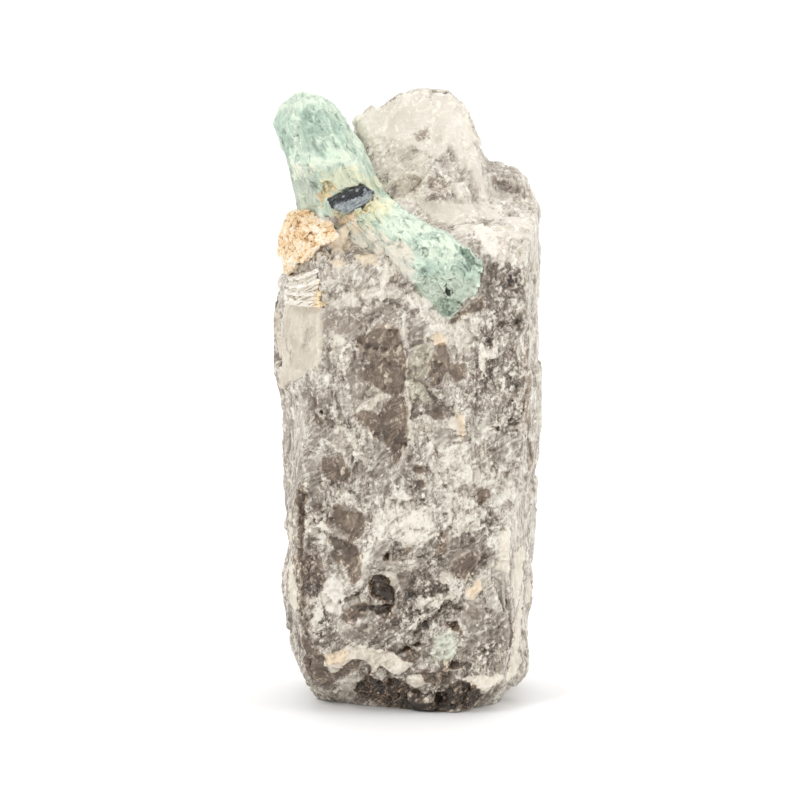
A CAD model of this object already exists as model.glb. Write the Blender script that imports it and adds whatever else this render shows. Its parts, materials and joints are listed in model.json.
import json
import math
import random

import bpy
import numpy as np
from mathutils import Euler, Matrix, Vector, noise
from mathutils.bvhtree import BVHTree
from mathutils.kdtree import KDTree

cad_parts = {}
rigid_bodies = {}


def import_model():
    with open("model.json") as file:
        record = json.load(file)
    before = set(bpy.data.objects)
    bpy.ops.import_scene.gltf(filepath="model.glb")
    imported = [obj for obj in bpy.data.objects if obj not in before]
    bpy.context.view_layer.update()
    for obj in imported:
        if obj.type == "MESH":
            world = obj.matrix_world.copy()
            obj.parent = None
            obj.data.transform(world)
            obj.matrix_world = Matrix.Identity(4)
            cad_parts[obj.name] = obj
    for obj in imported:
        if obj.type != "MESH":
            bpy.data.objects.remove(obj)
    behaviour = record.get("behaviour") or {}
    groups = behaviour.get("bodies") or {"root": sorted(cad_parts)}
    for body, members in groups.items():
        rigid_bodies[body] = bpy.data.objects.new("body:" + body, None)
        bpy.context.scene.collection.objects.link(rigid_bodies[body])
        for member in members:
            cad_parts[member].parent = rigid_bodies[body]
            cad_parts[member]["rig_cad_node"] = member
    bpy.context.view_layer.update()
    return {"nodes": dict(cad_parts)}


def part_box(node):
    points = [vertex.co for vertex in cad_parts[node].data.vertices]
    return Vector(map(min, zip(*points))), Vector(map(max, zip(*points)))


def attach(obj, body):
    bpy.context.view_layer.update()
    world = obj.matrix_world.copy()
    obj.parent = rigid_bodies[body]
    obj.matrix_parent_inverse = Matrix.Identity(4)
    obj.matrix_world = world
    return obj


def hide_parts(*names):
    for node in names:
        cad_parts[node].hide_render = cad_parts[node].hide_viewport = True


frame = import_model()
mm = 0.001
noise.seed_set(5)  # so that every run gives the same chips


# helpers that make, shape and finish a piece
def pickOnly(piece):
    if bpy.context.mode != "OBJECT":
        bpy.ops.object.mode_set(mode="OBJECT")
    bpy.ops.object.select_all(action="DESELECT")
    piece.select_set(True)
    bpy.context.view_layer.objects.active = piece


def copyOfNode(nodeName, pieceName):
    pickOnly(frame["nodes"][nodeName])
    bpy.ops.object.duplicate()
    piece = bpy.context.active_object
    piece.name = pieceName
    del piece["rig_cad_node"]
    bpy.ops.object.mode_set(mode="EDIT")
    bpy.ops.mesh.select_all(action="SELECT")
    bpy.ops.mesh.remove_doubles(threshold=0.001 * mm)
    bpy.ops.object.mode_set(mode="OBJECT")
    piece.data.materials.clear()
    return piece


def addAndApply(piece, kind, **settings):
    pickOnly(piece)
    modifier = piece.modifiers.new(kind.title(), kind)
    for name, value in settings.items():
        setattr(modifier, name, value)
    bpy.ops.object.modifier_apply(modifier=modifier.name)


def readPoints(piece):  # in mm
    points = np.empty(len(piece.data.vertices) * 3)
    piece.data.vertices.foreach_get("co", points)
    return points.reshape(-1, 3) / mm


def readNormals(piece):
    normals = np.empty(len(piece.data.vertices) * 3)
    piece.data.vertices.foreach_get("normal", normals)
    return normals.reshape(-1, 3)


def dropSpecks(piece):  # keeps only what hangs together with the topmost point
    pickOnly(piece)
    top = int(np.argmax(readPoints(piece)[:, 2]))
    bpy.ops.object.mode_set(mode="EDIT")
    bpy.ops.mesh.select_mode(type="VERT")
    bpy.ops.mesh.select_all(action="DESELECT")
    bpy.ops.object.mode_set(mode="OBJECT")
    piece.data.vertices[top].select = True
    bpy.ops.object.mode_set(mode="EDIT")
    bpy.ops.mesh.select_linked()
    bpy.ops.mesh.select_all(action="INVERT")
    bpy.ops.mesh.delete(type="VERT")
    bpy.ops.object.mode_set(mode="OBJECT")


def remeshedCopy(nodeName, pieceName, spacing, soften=0):  # mm between points, rounds of smoothing
    piece = copyOfNode(nodeName, pieceName)
    addAndApply(piece, "REMESH", mode="VOXEL", voxel_size=spacing * mm)
    dropSpecks(piece)
    if soften:
        addAndApply(piece, "SMOOTH", factor=0.5, iterations=soften)
    return piece


def movePoints(piece, points):
    piece.data.vertices.foreach_set("co", (points * mm).ravel())
    piece.data.update()


def storeOnPoints(piece, name, values):
    layer = piece.data.attributes.new(name, "FLOAT", "POINT")
    layer.data.foreach_set("value", np.asarray(values, dtype=np.float32))


def keepInside(points, node):  # never past the box of the solid
    low, high = (np.array(corner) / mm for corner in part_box(node))
    return np.clip(points, low, high)


def finishPiece(piece, node, skin, sharp):  # edges above sharp degrees stay sharp
    piece.data.materials.append(skin)
    pickOnly(piece)
    bpy.ops.object.shade_smooth_by_angle(angle=math.radians(sharp))
    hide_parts(node)
    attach(piece, "root")
    print(piece.name, "has", len(piece.data.polygons), "faces")
    return piece


# helpers that work out the relief of a skin, in mm
def smoothStep(low, high, value):
    t = np.clip((value - low) / (high - low), 0, 1)
    return t * t * (3 - 2 * t)


# about -1 to 1, in lumps of size mm (one number, or one for each axis).
def noiseAt(points, size, seed, detail=3):
    fade, finer = 0.8, 2.0  # how much weaker and how much smaller each octave is
    shift = np.array([seed * 17.3, seed * 5.1, seed * 9.7])
    return np.array([noise.fractal(Vector(p), fade, finer, detail) for p in points / np.array(size) + shift])


def turnedInto(points, turn):  # the points in axes turned by the angles given
    return points @ np.array(Euler(turn).to_matrix())


# heights of a skin broken into tilted, scooped chips about cell mm wide, with wavy borders.
def chipsAt(points, cell, tilt, scoop, seed):
    wave, push = 0.9, 0.3
    warped = [Vector(p) + noise.noise_vector(Vector(p) / (wave * cell)) * push * cell for p in points]
    wanted = set()
    for x, y, z in {tuple(index) for index in np.floor(np.array(warped) / cell).astype(int).tolist()}:
        wanted |= {(x + i, y + j, z + k) for i in (-1, 0, 1) for j in (-1, 0, 1) for k in (-1, 0, 1)}
    tree = KDTree(len(wanted))
    slopes = []
    for number, index in enumerate(sorted(wanted)):
        rng = random.Random("%d %d %d %d" % (*index, seed))
        middle = Vector((rng.random(), rng.random(), rng.random()))
        tree.insert((Vector(index) + middle) * cell, number)
        slopes.append(Vector((rng.gauss(0, 1), rng.gauss(0, 1), rng.gauss(0, 1))) * tilt)
    tree.balance()
    rises = np.empty(len(warped))
    for number, p in enumerate(warped):
        middle, index, distance = tree.find(p)
        rises[number] = (p - middle).dot(slopes[index]) + scoop * (distance * distance - cell * cell / 5)
    return rises


# heights of stepped ledges with one steep side each, as where thin shells have flaked off.
def ledgesAt(points, size, step, seed):
    steps, steepFrom = 5, 0.78
    level = noiseAt(points, size, seed, 4) * steps
    part = level - np.floor(level)
    return step * (smoothStep(steepFrom, 1.0, part) - part)


def insideOutline(flat, outline):  # how far points (n, 2) are inside an outline, in mm; negative outside
    corners = np.array(outline)
    nearest = np.full(len(flat), np.inf)
    crossings = np.zeros(len(flat), dtype=int)
    for a, b in zip(corners, np.roll(corners, -1, axis=0)):
        along = b - a
        t = np.clip(((flat - a) @ along) / (along @ along), 0, 1)
        nearest = np.minimum(nearest, np.hypot(*(flat - a - t[:, None] * along).T))
        if along[1]:
            crossX = a[0] + (flat[:, 1] - a[1]) * along[0] / along[1]
            crossings += ((a[1] > flat[:, 1]) != (b[1] > flat[:, 1])) & (flat[:, 0] < crossX)
    return np.where(crossings % 2 == 1, nearest, -nearest)


frontView = {  # lengths in mm
    "elevation": math.radians(10),
    "distance": 2500,
    "across": -1.56,
    "up": 61.2,
}


def seenFromFront(points):  # across and up, in mm, as the part looks from the front and a little above
    up = np.array([0, math.sin(frontView["elevation"]), math.cos(frontView["elevation"])])
    back = np.array([0, -math.cos(frontView["elevation"]), math.sin(frontView["elevation"])])
    nearer = frontView["distance"] / (frontView["distance"] - points @ back)
    across = (points[:, 0] - frontView["across"]) * nearer + frontView["across"]
    return np.stack([across, (points @ up - frontView["up"]) * nearer + frontView["up"]], axis=1)


wellOutside = -4.0  # mm inside an outline below which a look has no say
liftEdge = (-0.1, 0.7)  # mm inside an outline where its lift starts and is full
turnedToFront = (0.15, -0.15)  # how far the skin faces front where the strewn patches end and are full


# for each look, how far every point is inside its places, in mm; and how far the places lift the skin.
def paintPlaces(points, normals, places, turnedAway=(0.05, 0.4)):
    flat = seenFromFront(points)
    facing = smoothStep(*turnedAway, -normals[:, 1])
    fields = {}
    lift = np.zeros(len(points))
    for look, rise, outline in places.values():
        inside = np.clip(insideOutline(flat, outline), wellOutside, -wellOutside)
        inside = inside * facing + wellOutside * (1 - facing)
        fields[look] = np.maximum(fields.get(look, wellOutside), inside)
        lift += rise * smoothStep(*liftEdge, inside)
    return fields, lift


def addPatches(points, normals, fields, patches):  # patches of each look strewn over the sides and the back
    away = smoothStep(*turnedToFront, -normals[:, 1] + 0.45 * np.clip(normals[:, 2], 0, 1))
    for look, (size, rare, seed) in patches.items():
        inside = (noiseAt(points, size, seed, 2) - rare) * 0.6 * max(size)
        inside = np.clip(inside, wellOutside, -wellOutside)
        fields[look] = np.maximum(fields.get(look, wellOutside), inside * away + wellOutside * (1 - away))


def storeFields(piece, fields, looks):
    nowhere = np.full(len(piece.data.vertices), wellOutside)
    for look in looks:
        storeOnPoints(piece, look, fields.get(look, nowhere))


def bendOf(piece, points, spacing):  # positive on ridges and rims, negative in hollows and cracks
    edges = np.empty(len(piece.data.edges) * 2, dtype=int)
    piece.data.edges.foreach_get("vertices", edges)
    ends = edges.reshape(-1, 2)
    count = np.bincount(edges, minlength=len(points))[:, None]

    def averageRound(values):
        total = np.zeros_like(values)
        np.add.at(total, ends[:, 0], values[ends[:, 1]])
        np.add.at(total, ends[:, 1], values[ends[:, 0]])
        return total / count

    offset = points - averageRound(points)
    value = np.einsum("ij,ij->i", offset, readNormals(piece))[:, None] / spacing
    return (0.5 * value + 0.5 * averageRound(value))[:, 0]


# one material's node tree, with short ways to add to it, sizes in mm
class Nodes:
    def __init__(self, name):
        self.material = bpy.data.materials.new(name)
        self.material.use_nodes = True
        self.tree = self.material.node_tree
        self.shader = self.tree.nodes["Principled BSDF"]
        self.place = self.add("ShaderNodeTexCoord").outputs["Object"]

    def add(self, kind, **settings):
        node = self.tree.nodes.new(kind)
        for name, value in settings.items():
            setattr(node, name, value)
        return node

    def link(self, value, socket):
        if isinstance(value, bpy.types.NodeSocket):
            self.tree.links.new(value, socket)
        elif isinstance(value, (tuple, list)) and len(value) == 3 and socket.type == "RGBA":
            socket.default_value = (*value, 1)
        else:
            socket.default_value = value

    def setShader(self, values):
        for name, value in values.items():
            self.link(value, self.shader.inputs[name])

    def maths(self, operation, first, second=0.0, third=0.0):
        node = self.add("ShaderNodeMath", operation=operation)
        for value, socket in zip((first, second, third), node.inputs):
            self.link(value, socket)
        return node.outputs[0]

    def addUp(self, *parts):  # the sum of (value, weight) pairs
        total = 0.0
        for value, weight in parts:
            total = self.maths("MULTIPLY_ADD", value, weight, total)
        return total

    def attribute(self, name):
        return self.add("ShaderNodeAttribute", attribute_name=name).outputs["Fac"]

    def stretched(self, lengths, turn=(0, 0, 0)):
        node = self.add("ShaderNodeMapping", vector_type="TEXTURE")
        self.link(self.place, node.inputs["Vector"])
        self.link(lengths, node.inputs["Scale"])
        self.link(turn, node.inputs["Rotation"])
        return node.outputs[0]

    def waves(self, size):  # pushes to all sides (0 to 1)
        node = self.add("ShaderNodeTexNoise")
        self.link(self.place, node.inputs["Vector"])
        self.link(1 / (size * mm), node.inputs["Scale"])
        self.link(1.0, node.inputs["Detail"])
        return node.outputs["Color"]

    def pushed(self, waves, amount, place=None):  # coordinates pushed about by up to amount mm
        node = self.add("ShaderNodeVectorMath", operation="MULTIPLY_ADD")
        self.link(waves, node.inputs[0])
        self.link((amount * mm,) * 3, node.inputs[1])
        self.link(place or self.place, node.inputs[2])
        return node.outputs[0]

    def facets(self, size, place, slope=1.3, step=0.7):  # shades of flat facets, each tilted its own way
        node = self.add("ShaderNodeTexVoronoi")
        self.link(place, node.inputs["Vector"])
        self.link(1 / (size * mm), node.inputs["Scale"])
        away = self.add("ShaderNodeVectorMath", operation="SUBTRACT")
        self.link(place, away.inputs[0])
        self.link(node.outputs["Position"], away.inputs[1])
        tilt = self.add("ShaderNodeVectorMath", operation="SUBTRACT")
        self.link(node.outputs["Color"], tilt.inputs[0])
        self.link((0.5, 0.5, 0.5), tilt.inputs[1])
        along = self.add("ShaderNodeVectorMath", operation="DOT_PRODUCT")
        self.link(away.outputs[0], along.inputs[0])
        self.link(tilt.outputs[0], along.inputs[1])
        level = self.maths("SUBTRACT", node.outputs["Color"], 0.5)
        return self.addUp((along.outputs["Value"], slope / (size * mm)), (level, step))

    def cloud(self, size, detail=4.0, rough=0.55, place=None, warp=0.0):  # noise round 0 (-0.5 to 0.5)
        node = self.add("ShaderNodeTexNoise")
        self.link(place or self.place, node.inputs["Vector"])
        settings = {"Scale": 1 / (size * mm), "Detail": detail, "Roughness": rough, "Distortion": warp}
        for name, value in settings.items():
            self.link(value, node.inputs[name])
        return self.maths("SUBTRACT", node.outputs["Fac"], 0.5)

    def cells(self, size, place=None, output="Distance"):
        node = self.add("ShaderNodeTexVoronoi")
        self.link(place or self.place, node.inputs["Vector"])
        self.link(1 / (size * mm), node.inputs["Scale"])
        return node.outputs[output]

    def shards(self, value, gap, soft):  # -1, 0 or 1 in patches with crisp edges
        high = self.between(value, gap, gap + soft)
        return self.maths("SUBTRACT", high, self.between(value, -gap, -gap - soft))

    def between(self, value, low, high, toLow=0.0, toHigh=1.0):
        node = self.add("ShaderNodeMapRange", interpolation_type="SMOOTHSTEP")
        for value, socket in zip((value, low, high, toLow, toHigh), node.inputs):
            self.link(value, socket)
        return node.outputs[0]

    def blend(self, amount, first, second):
        node = self.add("ShaderNodeMix", data_type="FLOAT")
        for value, socket in zip((amount, first, second), (node.inputs[0], node.inputs[2], node.inputs[3])):
            self.link(value, socket)
        return node.outputs[0]

    def mix(self, amount, first, second, blend="MIX"):
        node = self.add("ShaderNodeMix", data_type="RGBA", blend_type=blend)
        for value, socket in zip((amount, first, second), (node.inputs[0], node.inputs[6], node.inputs[7])):
            self.link(value, socket)
        return node.outputs[2]

    def ramp(self, value, stops):
        node = self.add("ShaderNodeValToRGB")
        self.link(value, node.inputs[0])
        elements = node.color_ramp.elements
        while len(elements) < len(stops):
            elements.new(0.5)
        for element, (place, colour) in zip(elements, stops):
            element.position = place
            element.color = (*colour, 1)
        return node.outputs[0]

    def bump(self, height, strength, distance):
        node = self.add("ShaderNodeBump")
        self.link(strength, node.inputs["Strength"])
        self.link(distance * mm, node.inputs["Distance"])
        self.link(height, node.inputs["Height"])
        self.link(node.outputs[0], self.shader.inputs["Normal"])

    def glow(self, weight, radius, depth):  # light that spreads a little under the skin
        self.setShader({
            "Subsurface Weight": weight,
            "Subsurface Radius": radius,
            "Subsurface Scale": depth * mm,
        })

    # lays each look's tone over the tone so far, and gives the tone and the (mask, tint) pairs.
    def paintLooks(self, tone, vary, ragged, looks):
        contrast = 1.0
        tints = []
        for look, (level, inside, edge, soft, tint) in looks.items():
            mask = self.between(self.addUp((self.attribute(look), 1.0), (ragged, edge)), -soft, soft)
            tone = self.blend(mask, tone, level)
            contrast = self.blend(mask, contrast, inside)
            tints.append((mask, tint))
        return self.maths("MULTIPLY_ADD", vary, contrast, tone), tints

    def tinted(self, colour, tints):
        for mask, tint in tints:
            colour = self.mix(mask, colour, tint, blend="MULTIPLY")
        return colour


# places on the front, shared by all pieces: look, lift in mm, outline (across, up) in mm
rockPlaces = {
    "brownWindow": ("brown", -0.5, [(-10.5, 74.75), (-8.75, 75), (-7, 76), (-5, 76.5), (-2, 75.75),
        (-1.25, 74.5), (-0.75, 71.25), (-0.25, 65.75), (-0.75, 62.75), (-2.5, 61.5), (-5, 62.5), (-7.5, 64),
        (-9.5, 65.75), (-8.25, 69), (-9.5, 71.5), (-10.5, 72.75)]),
    "lowWindow": ("brown", -0.6, [(-4, 61.5), (-0.75, 62), (-0.25, 58.75), (-0.25, 52.75), (-1.25, 49.5),
        (-2.5, 48.25), (-3.75, 51.25), (-6.25, 52.75), (-8.25, 55.25), (-11.5, 57.5), (-8.75, 59),
        (-5.75, 58.25), (-5, 60.25)]),
    "slit": ("brown", -0.5, [(-20, 62), (-19, 61.5), (-18.5, 58.75), (-17.25, 56.25), (-17.75, 54.5),
        (-19.5, 57), (-20.25, 59.5)]),
    "leftWindow": ("brown", -0.3, [(-17.5, 49), (-13.75, 49.5), (-12, 45.75), (-12.75, 43.75),
        (-16.25, 44.5), (-18.25, 46.5)]),
    "rightWindow": ("brown", -0.5, [(6, 73), (8, 72.75), (9.25, 70.25), (8.75, 68.75), (12.5, 68.75),
        (12.25, 65.25), (10, 64.5), (8, 66.5), (6.75, 64.5), (5, 63.25), (4, 65.75), (4.75, 69.5)]),
    "rightWindowFoot": ("brown", -0.4, [(4.75, 60.75), (8, 60), (6.75, 57), (5.5, 57), (4.75, 58.75)]),
    "footWindow": ("brown", -0.4, [(-15.25, 39.25), (-11.5, 38.75), (-8.75, 37), (-9, 33.25), (-10.75, 32),
        (-14, 33.75), (-16.25, 36.25)]),
    "footWindowLow": ("brown", -0.5, [(-16.25, 32.75), (-12, 32), (-10, 30.25), (-9.5, 25.25),
        (-11.25, 22.75), (-12.75, 25.25), (-13.75, 28.75), (-14.5, 27), (-16.25, 27.75)]),
    "edgePocket": ("brown", -0.8, [(-23.25, 43), (-20.75, 41.5), (-21.5, 38.75), (-20.25, 36.25),
        (-22.5, 37), (-23.25, 39.5)]),
    "edgeSpot": ("brown", -0.6, [(-20, 40.5), (-17.5, 40.25), (-18.25, 38.25), (-19.75, 38.75)]),
    "edgeSpotLow": ("brown", -0.5, [(-17, 37.75), (-15.25, 36.5), (-15.25, 33.75), (-16.5, 35.25)]),
    "drop": ("deep", -1.0, [(-8.25, 23.25), (-7, 24.75), (-5.25, 25), (-4, 23.75), (-2.75, 21.5),
        (-2.5, 18.75), (-3.75, 16.5), (-5.75, 17.5), (-5, 19), (-7.5, 20.25)]),
    "dropFoot": ("deep", -0.4, [(-10.75, 18.25), (-7.75, 18.75), (-3.75, 18.25), (-3.25, 16.5), (-5, 15.75),
        (-7.5, 17), (-10.25, 17)]),
    "chipMiddle": ("brown", -0.4, [(-2.5, 30.25), (1.25, 30.5), (0, 28.75), (-2, 27.75)]),
    "flakeMid": ("milk", 0.4, [(-5, 27.75), (-3.25, 28.75), (-2, 26.25), (-2, 23.25), (-3.75, 21.5),
        (-5, 24)]),
    "flakeRound": ("frost", 0.4, [(-2.5, 28.75), (-0.75, 30), (1.25, 29.5), (2.5, 27.5), (1, 25.25),
        (-1.5, 25.25)]),
    "leafDark": ("brown", -0.3, [(6.25, 33.25), (7.25, 33.75), (8.25, 31), (7.5, 28.75), (6.25, 29.5)]),
    "flakesRight": ("milk", 0.3, [(6.75, 25.25), (8.5, 26.5), (10, 24.5), (9.25, 22.75), (7.5, 23.25)]),
    "flakeLow": ("milk", 0.3, [(-12, 27.75), (-9.5, 29.5), (-8.75, 26.5), (-10, 23.75), (-11.5, 25)]),
    "pitMiddle": ("deep", -0.6, [(-5.25, 28.75), (-3.75, 30.25), (-3.25, 28.25), (-4.5, 27.25)]),
    "chipRight": ("brown", -0.4, [(9.25, 27.5), (13, 29.25), (15, 27.75), (14.75, 25), (11.25, 24),
        (8.75, 25)]),
    "gapRight": ("deep", -0.9, [(7.5, 15.25), (8.5, 13.75), (11.25, 12.5), (10.5, 15.25), (8.75, 15)]),
    "ledgeLine": ("deep", -0.8, [(-2.5, 9), (-0.25, 10), (2.5, 11), (3, 10.25), (0, 9), (-2, 8.25)]),
    "slabShade": ("brown", -0.5, [(-15.5, 4.5), (-12, 6.5), (-9, 7), (-10.25, 5.25), (-12.75, 3.75),
        (-15, 2.75)]),
    "smallWindowTop": ("brown", -0.3, [(1, 47.5), (4.25, 47.75), (4.75, 46.25), (1.25, 45.75)]),
    "smallWindow": ("brown", -0.4, [(1.25, 44.5), (3.5, 45), (3.75, 42.75), (1.25, 42)]),
    "rightCleft": ("brown", -0.4, [(14.75, 42.75), (17.5, 42.5), (17.25, 40.25), (14.25, 39.5)]),
    "underMint": ("brown", -0.5, [(8.75, 77), (11.25, 79.5), (14.25, 82), (16, 82.5), (16.25, 80.75),
        (14.75, 79), (12.25, 79.5), (10, 77.5)]),
    "notchTop": ("smoke", -0.4, [(-6.25, 86.25), (-3.75, 85), (-0.75, 84.5), (1.25, 83.75), (1, 86.5),
        (-1.5, 87), (-3.25, 89), (-4, 86.25)]),
    "greyBand": ("smoke", -0.2, [(-17.75, 80), (-14, 80.25), (-9.5, 81.25), (-6.5, 82.25), (-2.5, 82),
        (-1.75, 77.5), (-2, 75.75), (-5, 76.5), (-7.5, 75.25), (-10.75, 75), (-13.25, 74.5), (-16.25, 75.75),
        (-17.75, 76.5)]),
    "greyPanel": ("smoke", -0.3, [(-1.25, 77.5), (1, 77.75), (3.5, 76.5), (3.75, 72.75), (1.25, 71.5),
        (-0.75, 72.5)]),
    "glintField": ("spark", -0.2, [(15, 88.25), (17.5, 90), (21.25, 90), (24.75, 88.25), (25.25, 82),
        (25.25, 69.5), (25, 57), (23.5, 52.75), (20, 53.75), (16.75, 56.25), (13.75, 58.75), (11.25, 62.5),
        (13, 67), (14.75, 73.75), (14.25, 79.5), (15.5, 82.75)]),
    "smokyLeft": ("smoke", -0.2, [(-12, 71.5), (-9.5, 71.5), (-7.75, 69), (-9.5, 65.75), (-7.5, 63.75),
        (-4.5, 62), (-5.75, 58.75), (-10, 59.5), (-12.5, 61.25), (-13.25, 65.25), (-12.75, 69)]),
    "lowGreyRight": ("smoke", -0.2, [(7.5, 32), (13, 32.75), (17.25, 30.75), (18, 27.75), (15.5, 27.75),
        (12.25, 29.5), (8.75, 27.75), (7.5, 29.5)]),
    "lowGreyLeft": ("smoke", -0.2, [(-14, 12.5), (-10, 14), (-5, 16.25), (-0.75, 17), (-1.5, 14),
        (-5.75, 11.25), (-10.75, 10.75)]),
    "roundChip": ("smoke", 0.6, [(11.25, 18.5), (13.5, 19.25), (16, 18.75), (16.25, 15.75), (15, 13.75),
        (12.25, 14), (11, 15.75)]),
    "greyRightLow": ("smoke", 0.0, [(12.25, 11.25), (15, 12.75), (19.25, 14.5), (21, 13.25), (21, 5.25),
        (17.25, 4.5), (12.5, 5.25), (10.5, 8.75)]),
    "paleWedge": ("milk", 0.4, [(-15.25, 81.5), (-13, 83.75), (-7.75, 84), (-3.25, 85), (-0.25, 83.75),
        (-2.5, 82), (-6.5, 82.5), (-9.5, 81.25), (-14.5, 80)]),
    "paleShoulder": ("milk", 0.2, [(-17.75, 89.5), (-13.25, 89.5), (-14, 86.25), (-16.25, 84),
        (-17.75, 84.5)]),
    "ridge": ("milk", 0.6, [(-1, 79.75), (0, 79.75), (0, 73.75), (0.25, 65.25), (0.75, 57), (0, 49),
        (-0.75, 49), (-0.25, 57), (-0.5, 65.25), (-1.25, 72.75)]),
    "paleRight": ("milk", 0.3, [(8.75, 76.5), (11.25, 80), (13, 82), (14.75, 77.75), (13.75, 73.75),
        (13, 70), (10, 71.25), (8, 73.75)]),
    "paleLeft": ("milk", 0.3, [(-15.5, 57), (-13, 57.5), (-11.5, 55), (-10, 51.5), (-8.25, 49.5),
        (-8.75, 47.5), (-12, 48.75), (-14.5, 50.25), (-16.25, 52.75)]),
    "paleColumn": ("milk", 0.3, [(-0.75, 19.5), (3.5, 20.25), (8.75, 22), (11.25, 20.75), (8.5, 18.75),
        (2.5, 17.5), (-0.25, 17.75)]),
    "frostUnderMint": ("frost", 0.2, [(-0.75, 84), (2.25, 83.75), (6, 79.5), (8.75, 77), (6.75, 75.25),
        (3.5, 77.5), (1, 80.25)]),
    "frostByWindow": ("frost", 0.2, [(-16.25, 73.75), (-13.25, 74), (-11.25, 73.75), (-12, 69.5),
        (-13.25, 66.5), (-15, 67.75), (-16.25, 70.25)]),
    "frostSpark": ("frost", 0.4, [(-17.75, 69), (-16.25, 67), (-16.5, 64.5), (-17.75, 66.25)]),
    "frostStreaks": ("frost", 0.4, [(14.75, 72.5), (17.25, 73.75), (18.75, 72.75), (18.75, 70),
        (16.75, 68.75), (16.25, 65), (15, 65.25), (15, 69)]),
    "frostHeart": ("frost", 0.4, [(4.75, 50.25), (8, 51.5), (13, 52.75), (16, 53.75), (17.5, 50.75),
        (19.25, 46.5), (19.75, 44.5), (16.25, 43.25), (13, 43.75), (9.25, 42), (6, 44.5), (4.25, 47.5)]),
    "frostHeartLow": ("frost", 0.4, [(-5, 40.25), (-1.5, 42.5), (2.5, 40.75), (5, 38.25), (6, 34),
        (4.75, 31.25), (0.5, 30.75), (-3.75, 32), (-7, 30.75), (-9, 27.75), (-9.5, 31), (-7.5, 34.5)]),
    "frostLobe": ("frost", 0.6, [(8.5, 40.25), (13, 41.25), (15.5, 39), (14.75, 36.25), (13, 33.75),
        (10, 32.75), (8.75, 35.75)]),
    "frostEdge": ("frost", 0.3, [(-21.5, 40), (-20, 37.75), (-17, 37.5), (-16.5, 34), (-17.75, 32),
        (-20.75, 32.5), (-22.5, 35), (-21.25, 37)]),
    "frostSpot": ("snow", 0.3, [(-18.25, 21.5), (-16.25, 24.5), (-13.75, 23.75), (-12.75, 19.5), (-14, 16.5),
        (-16.5, 16.5), (-18.25, 18.75)]),
    "frostTop": ("frost", 0.2, [(-6.25, 90), (-3.25, 91.25), (-1.25, 90), (-2.5, 87.5), (-5.25, 85.25),
        (-6.5, 87.75)]),
    "frostFlake": ("frost", 0.5, [(20, 43), (22.5, 43.75), (21.75, 41.25), (20, 39.5), (19.75, 41.25)]),
    "frostHeartTop": ("frost", 0.2, [(0, 57), (3.5, 58.75), (6.75, 56.25), (4.75, 52.75), (1.25, 51.5),
        (0, 53.75)]),
    "greenLens": ("green", 0.4, [(0.75, 71.25), (2.5, 72.75), (5, 73.25), (6.25, 71.25), (5.5, 67.75),
        (4.25, 65.25), (4.75, 61.5), (3.5, 60), (1, 60.25), (0, 63.25), (0.25, 67.5)]),
    "slab": ("cream", 0.5, [(-17.75, 7.75), (-15.25, 9), (-12, 10.25), (-7.5, 9.5), (-2.5, 9), (-0.75, 7.5),
        (1.25, 6.25), (0, 4.5), (-1.5, 3.25), (-4, 3.5), (-5.75, 5.25), (-7.5, 4.5), (-9, 6.25),
        (-11.5, 6.75), (-13.25, 5.25), (-15, 4), (-16.5, 5.25)]),
    "roundFlake": ("cream", 0.5, [(-0.25, 3.5), (3.5, 4), (4, 2.75), (2.5, 0.75), (1.25, 0.25), (0, 1.5)]),
    "lensFlake": ("cream", 0.4, [(11.25, 3.25), (13.75, 4), (17.25, 3.75), (20.25, 4), (19.25, 2),
        (16, 0.75), (12.25, 1.5)]),
    "creamSpot": ("cream", 0.1, [(5.5, 74), (7.25, 74.5), (7.5, 72.75), (6, 72.5)]),
    "creamRight": ("cream", 0.2, [(8, 57.5), (11.25, 58.25), (12.25, 55), (10.5, 53.75), (8, 55.25)]),
    "creamChip": ("cream", 0.4, [(12.25, 21.5), (14.75, 23.75), (15.5, 21.25), (13.75, 19.5), (11.75, 19)]),
    "creamColumn": ("cream", 0.3, [(19.25, 33.75), (21.75, 34), (21.75, 30.25), (21, 25.25), (18.75, 25.75),
        (19.25, 30.25)]),
    "mintPatch": ("mint", 0.3, [(3.75, 10), (6, 12.5), (8.75, 13.25), (10.25, 11.5), (10, 8.75), (8, 6.75),
        (5.5, 7), (4.25, 8.25)]),
    "beigeFace": ("beige", 0.0, [(-27.5, 82), (-18.25, 81.25), (-18, 68.75), (-20.75, 67), (-23.25, 65.25),
        (-25.75, 63.75), (-27.5, 62.75)]),
    "domeChip": ("smoke", -0.3, [(1.25, 116.5), (3.5, 117.25), (4.75, 118.25), (5, 116.5), (3.75, 115.25),
        (1.75, 115.25)]),
    "domeChipRight": ("haze", -0.3, [(5.5, 116.25), (7.5, 117), (8.25, 115.75), (6.75, 114), (5.5, 114.5)]),
    "domeFoot": ("dusk", -0.4, [(-4, 105.75), (-1.25, 107.75), (1.75, 108.25), (3.5, 106.5), (1.25, 104),
        (-2.75, 104)]),
    "domeFootRight": ("smoke", -0.3, [(4.25, 107.75), (8, 107.5), (8.75, 105), (6.75, 103.75),
        (4.25, 105.25)]),
    "domeArc": ("milk", 0.5, [(7.5, 108.75), (9.75, 107.5), (11.25, 105), (11.75, 102.5), (10, 102),
        (9.25, 105)]),
    "domeStreak": ("frost", 0.2, [(2.5, 103.75), (5.5, 105), (8, 103.25), (6, 102.5)]),
    "shelf": ("silk", 0.0, [(-2.75, 103.5), (4.75, 103.5), (15, 102.5), (25, 103.25), (27.25, 99.75),
        (27.5, 94), (22.25, 94), (19.25, 96.25), (16, 97.75), (11, 96.5), (6, 98.75), (1, 101.25)]),
    "leftFoot": ("brown", -0.2, [(-23.25, 11.25), (-20.75, 12), (-18.75, 9), (-16.25, 5.25), (-15, 2.5),
        (-16.25, 0.75), (-20, 1.5), (-22, 5.25)]),
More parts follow.
